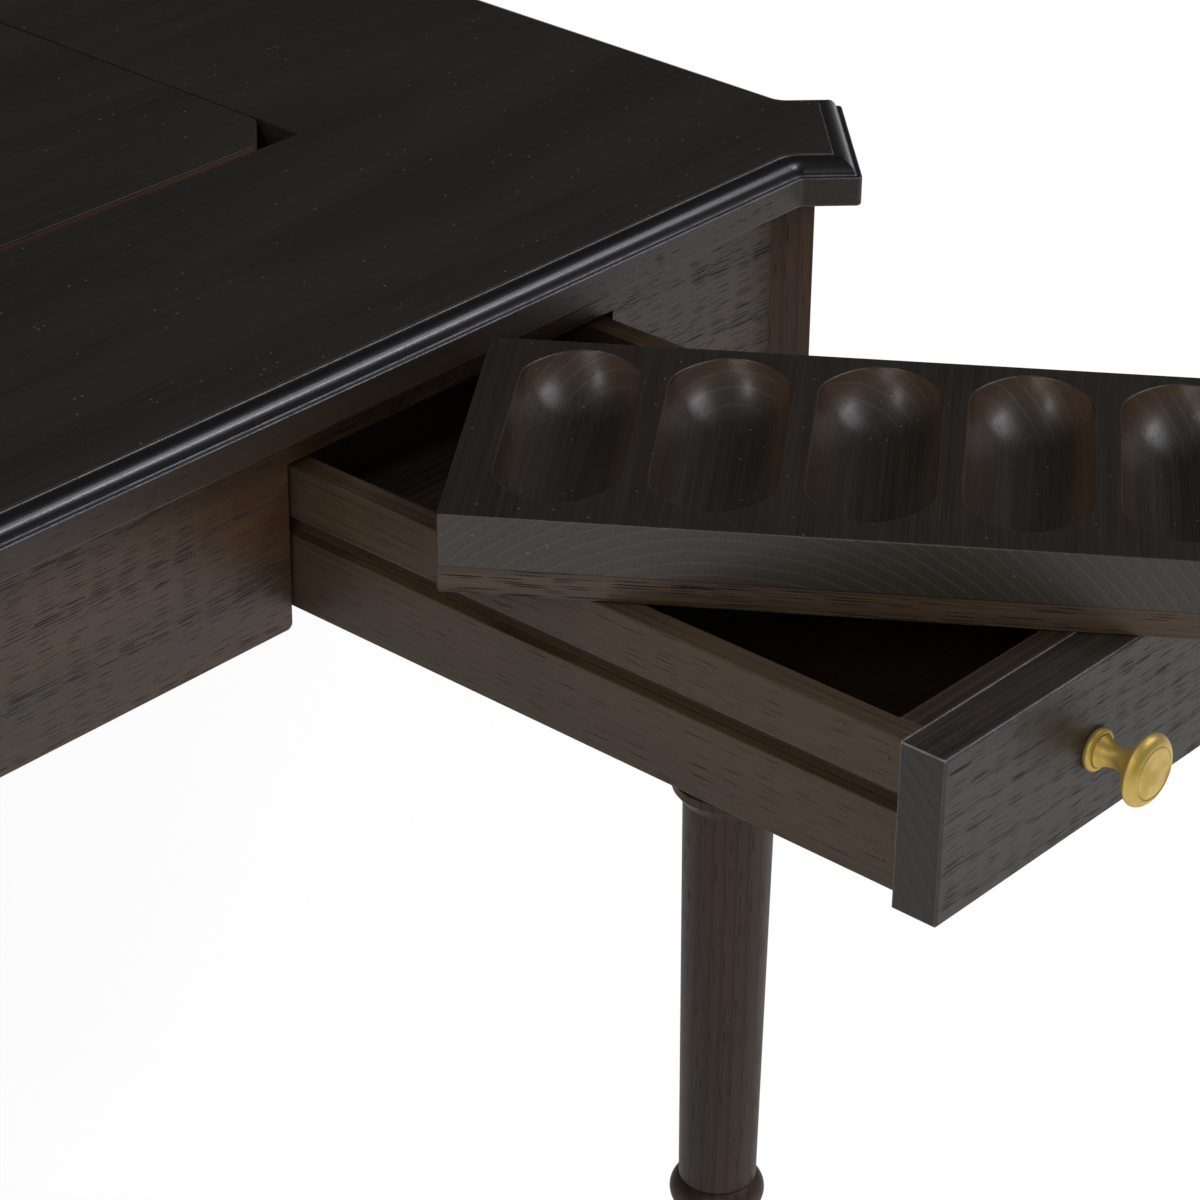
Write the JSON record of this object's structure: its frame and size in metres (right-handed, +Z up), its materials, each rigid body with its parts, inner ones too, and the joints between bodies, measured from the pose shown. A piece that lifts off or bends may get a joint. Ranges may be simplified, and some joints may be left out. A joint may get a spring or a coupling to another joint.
{
  "type": "games table",
  "caption": "Square games table with a moulded eared top, a lift-out centre panel over a shallow well, turned legs, a side-hung drawer on each side and a loose chip tray.",
  "frame": {"origin": "on the floor under the middle of the whole object as it stands in the picture, with the front drawer pulled out and the chip tray across it; the middle of the table top is 182.7 mm behind it", "axes": "+Z up; the front drawer pulls out along -Y; +X is to the right of someone who faces that drawer"},
  "size_m": [1.0158, 1.3812, 0.762],
  "materials": {
    "top_wood": "dark brown-black stain, satin lacquer, fine open pores",
    "panel_wood": "dark brown-black stain, satin lacquer",
    "apron_wood": "dark brown stain, open grain, satin",
    "leg_wood": "dark brown stain, satin",
    "face_wood": "dark grey-brown stain, open grain, satin",
    "drawer_wood": "brown stain, thin lacquer",
    "runner_wood": "bare hardwood",
    "inner_wood": "brown stain, unpolished",
    "tray_wood": "dark stain, satin, end grain shows on the edges",
    "tray_base_wood": "brown stain, satin",
    "brass": "antique brass, satin",
    "steel": "zinc plated",
    "glide_plastic": "black nylon"
  },
  "bodies": {
    "table": {"tabletop": "top_wood", "well_rails": "inner_wood", "panel_ledges": "inner_wood", "well_floor": "inner_wood", "corner_braces": "inner_wood", "leg_bolts": "steel", "leg_nuts": "steel", "foot_glides": "glide_plastic", "drawer_runners": "runner_wood", "front_right_leg": "leg_wood", "back_right_leg": "leg_wood", "back_left_leg": "leg_wood", "front_left_leg": "leg_wood", "front_apron": "apron_wood", "front_drawer_left_guide": "inner_wood", "front_drawer_right_guide": "inner_wood", "right_apron": "apron_wood", "right_drawer_left_guide": "inner_wood", "right_drawer_right_guide": "inner_wood", "back_apron": "apron_wood", "back_drawer_left_guide": "inner_wood", "back_drawer_right_guide": "inner_wood", "left_apron": "apron_wood", "left_drawer_left_guide": "inner_wood", "left_drawer_right_guide": "inner_wood"},
    "front_drawer": {"front_drawer_face": "face_wood", "front_drawer_box_front": "drawer_wood", "front_drawer_left_side": "drawer_wood", "front_drawer_right_side": "drawer_wood", "front_drawer_back": "drawer_wood", "front_drawer_bottom": "drawer_wood", "front_drawer_knob": "brass", "front_drawer_knob_screw": "steel"},
    "right_drawer": {"right_drawer_face": "face_wood", "right_drawer_box_front": "drawer_wood", "right_drawer_left_side": "drawer_wood", "right_drawer_right_side": "drawer_wood", "right_drawer_back": "drawer_wood", "right_drawer_bottom": "drawer_wood", "right_drawer_knob": "brass", "right_drawer_knob_screw": "steel"},
    "back_drawer": {"back_drawer_face": "face_wood", "back_drawer_box_front": "drawer_wood", "back_drawer_left_side": "drawer_wood", "back_drawer_right_side": "drawer_wood", "back_drawer_back": "drawer_wood", "back_drawer_bottom": "drawer_wood", "back_drawer_knob": "brass", "back_drawer_knob_screw": "steel"},
    "left_drawer": {"left_drawer_face": "face_wood", "left_drawer_box_front": "drawer_wood", "left_drawer_left_side": "drawer_wood", "left_drawer_right_side": "drawer_wood", "left_drawer_back": "drawer_wood", "left_drawer_bottom": "drawer_wood", "left_drawer_knob": "brass", "left_drawer_knob_screw": "steel"},
    "panel": {"game_panel": "panel_wood"},
    "tray": {"chip_tray_base": "tray_base_wood", "chip_tray_block": "tray_wood"}
  },
  "joints": [
    {"name": "front_drawer_slide", "type": "slide", "parent": "table", "child": "front_drawer", "axis": [0, -1, 0], "range_m": [-0.356, 0.024]},
    {"name": "right_drawer_slide", "type": "slide", "parent": "table", "child": "right_drawer", "axis": [1, 0, 0], "range_m": [0, 0.38]},
    {"name": "back_drawer_slide", "type": "slide", "parent": "table", "child": "back_drawer", "axis": [0, 1, 0], "range_m": [0, 0.38]},
    {"name": "left_drawer_slide", "type": "slide", "parent": "table", "child": "left_drawer", "axis": [-1, 0, 0], "range_m": [0, 0.38]},
    {"name": "panel_lift", "type": "slide", "parent": "table", "child": "panel", "axis": [0, 0, 1], "range_m": [0, 0.12]},
    {"name": "tray_lift", "type": "slide", "parent": "table", "child": "tray", "axis": [0, 0, 1], "range_m": [0, 0.1]}
  ]
}
